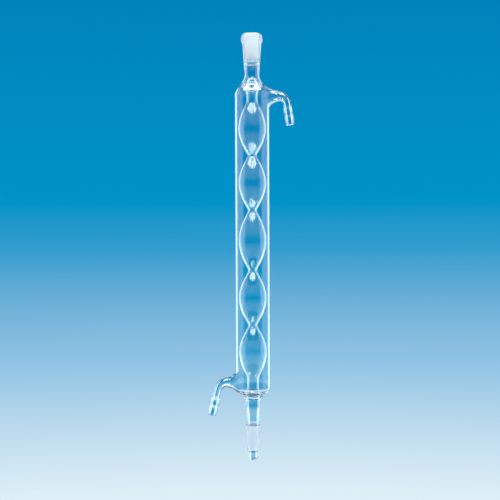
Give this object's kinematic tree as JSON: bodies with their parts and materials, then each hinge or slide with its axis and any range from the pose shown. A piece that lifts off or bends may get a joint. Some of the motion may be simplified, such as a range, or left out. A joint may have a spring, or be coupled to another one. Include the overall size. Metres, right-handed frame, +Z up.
{
  "type": "allihn condenser",
  "caption": "Upright reflux condenser in blown glass: a bulbed vapour tube inside a water jacket, with hose nozzles on side arms, a ground socket on top and a ground cone with drip tip.",
  "frame": {"origin": "on the condenser's axis at the wide end of the lower ground cone", "axes": "+Z up along the condenser towards the socket; the side arms lie in the XZ plane, the upper one towards +X and the lower one towards -X"},
  "size_m": [0.0899, 0.0354, 0.439],
  "materials": {
    "borosilicate_glass": "clear, flame polished, with ground joints"
  },
  "bodies": {
    "root": {"condenser": "borosilicate_glass"}
  },
  "joints": []
}
